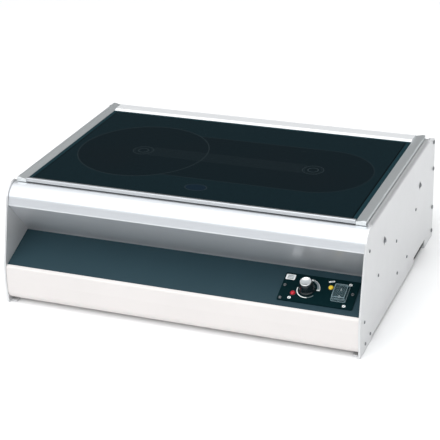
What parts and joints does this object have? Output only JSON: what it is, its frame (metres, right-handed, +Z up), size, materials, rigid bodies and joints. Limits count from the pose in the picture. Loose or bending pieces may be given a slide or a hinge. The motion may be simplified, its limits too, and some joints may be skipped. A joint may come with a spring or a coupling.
{
  "type": "table-top induction hob",
  "caption": "Free-standing table-top hot plate: framed glass-ceramic top on folded side plates, bullnose front with control recess, knob, rocker switch and pilot lamps.",
  "frame": {"origin": "on the table under the middle of the body", "axes": "+X to the right along the front, +Y to the back, +Z up; the controls face -Y at the right"},
  "size_m": [0.6038, 0.4599, 0.203],
  "materials": {
    "side_sheet": "satin silver-grey coated sheet, fine texture",
    "front_skin": "satin brushed along its length",
    "fascia": "matt anthracite powder coat",
    "panel": "satin pale warm grey",
    "frame": "satin anodised extrusion",
    "glass_top": "black glass-ceramic, smooth, screen printed underneath",
    "seal": "matt silicone",
    "galvanised": "zinc-coated sheet, dull",
    "control_plate": "black printed plate, satin",
    "black_plastic": "fine-grained moulding",
    "knob_cap": "spun satin disc",
    "clear_cover": "clear flexible plastic splash cover",
    "red_lens": "ribbed translucent lens",
    "yellow_lens": "ribbed translucent lens",
    "copper": "lacquered copper strand",
    "ferrite": "sintered dark grey",
    "mica": "pressed mica sheet",
    "sensor": "turned holder",
    "board": "green circuit board",
    "sink": "as extruded",
    "capacitor": "yellow moulded case",
    "black_screw": "blackened steel",
    "screw_steel": "zinc-plated steel"
  },
  "bodies": {
    "root": {"air_guide": "black_plastic", "base_pan": "galvanised", "bushing_nut": "black_plastic", "cable_bushing": "black_plastic", "capacitor": "capacitor", "choke": "copper", "coil_carrier_left": "black_plastic", "coil_carrier_right": "black_plastic", "coil_tray": "galvanised", "coil_winding_left": "copper", "coil_winding_right": "copper", "control_board": "board", "control_fascia": "fascia", "control_plate": "control_plate", "control_plate_screw_1": "black_screw", "control_plate_screw_2": "black_screw", "control_plate_screw_3": "black_screw", "fan_housing": "black_plastic", "ferrite_star_left": "ferrite", "ferrite_star_right": "ferrite", "glass_plate": "glass_top", "glass_seal": "seal", "heat_sink": "sink", "lower_front_panel": "panel", "mica_disc_left": "mica", "mica_disc_right": "mica", "nose_cover": "front_skin", "power_board": "board", "rail_front": "frame", "rail_left": "frame", "rail_rear": "frame", "rail_right": "frame", "rear_cover": "galvanised", "rear_panel": "galvanised", "rear_screw_left_1": "screw_steel", "rear_screw_left_2": "screw_steel", "rear_screw_left_3": "screw_steel", "rear_screw_left_4": "screw_steel", "rear_screw_right_1": "screw_steel", "rear_screw_right_2": "screw_steel", "rear_screw_right_3": "screw_steel", "rear_screw_right_4": "screw_steel", "red_lamp": "red_lens", "regulator_body": "galvanised", "regulator_nut": "screw_steel", "side_bracket_left": "galvanised", "side_bracket_right": "galvanised", "side_plate_left": "side_sheet", "side_plate_right": "side_sheet", "switch_cover": "clear_cover", "switch_housing": "black_plastic", "temperature_sensor_left": "sensor", "temperature_sensor_right": "sensor", "terminal_block": "black_plastic", "yellow_lamp": "yellow_lens"},
    "knob": {"knob_body": "black_plastic", "knob_cap": "knob_cap", "regulator_shaft": "screw_steel"},
    "rocker": {"switch_rocker": "black_plastic"},
    "fan": {"fan_rotor": "black_plastic"}
  },
  "joints": [
    {"name": "knob_turn", "type": "hinge", "parent": "root", "child": "knob", "pos_m": [0.2046, -0.18778, 0.08132], "axis": [0, -0.3795, 0.9252], "range_deg": [-270, 0]},
    {"name": "rocker_tilt", "type": "hinge", "parent": "root", "child": "rocker", "pos_m": [0.2568, -0.18681, 0.08236], "axis": [1, 0, 0], "range_deg": [-20, 0]},
    {"name": "fan_spin", "type": "hinge", "parent": "root", "child": "fan", "pos_m": [-0.16, 0.1997, 0.0551], "axis": [0, 1, 0], "continuous": true}
  ]
}
